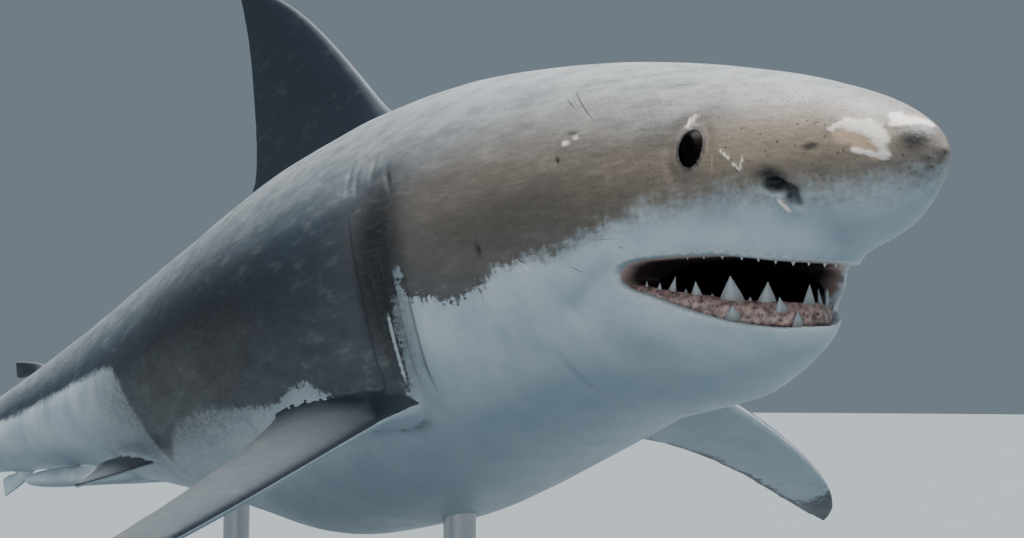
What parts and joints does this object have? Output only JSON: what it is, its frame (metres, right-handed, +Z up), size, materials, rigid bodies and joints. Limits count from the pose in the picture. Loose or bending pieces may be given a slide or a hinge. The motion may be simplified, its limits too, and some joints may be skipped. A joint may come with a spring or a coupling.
{
  "type": "great white shark display model",
  "caption": "Life-size still model of a great white shark swimming with its mouth open and tail swept to one side, on a plain stand with a flat base and rods.",
  "frame": {"origin": "centre of the underside of the stand's base", "axes": "+Z up, snout towards -Y, tail towards +Y, the animal's right side towards -X"},
  "size_m": [1.9669, 4.1434, 2.0761],
  "materials": {
    "skin": "satin slate grey above, off-white below",
    "teeth": "ivory teeth in pinkish grey gum",
    "eye": "glossy black",
    "base": "black stained, satin",
    "rod": "brushed"
  },
  "bodies": {
    "root": {"head": "skin", "lower_jaw": "skin", "gills": "skin", "front_trunk": "skin", "rear_trunk": "skin", "tail_stalk": "skin", "dorsal_fin": "skin", "second_dorsal_fin": "skin", "anal_fin": "skin", "caudal_fin": "skin", "pectoral_fin_right": "skin", "pectoral_fin_left": "skin", "pelvic_fin_right": "skin", "pelvic_fin_left": "skin", "clasper_right": "skin", "clasper_left": "skin", "upper_gum_and_teeth": "teeth", "lower_gum_and_teeth": "teeth", "eye_right": "eye", "eye_left": "eye", "stand_base": "base", "stand_rod_front": "rod", "stand_rod_rear": "rod"}
  },
  "joints": []
}
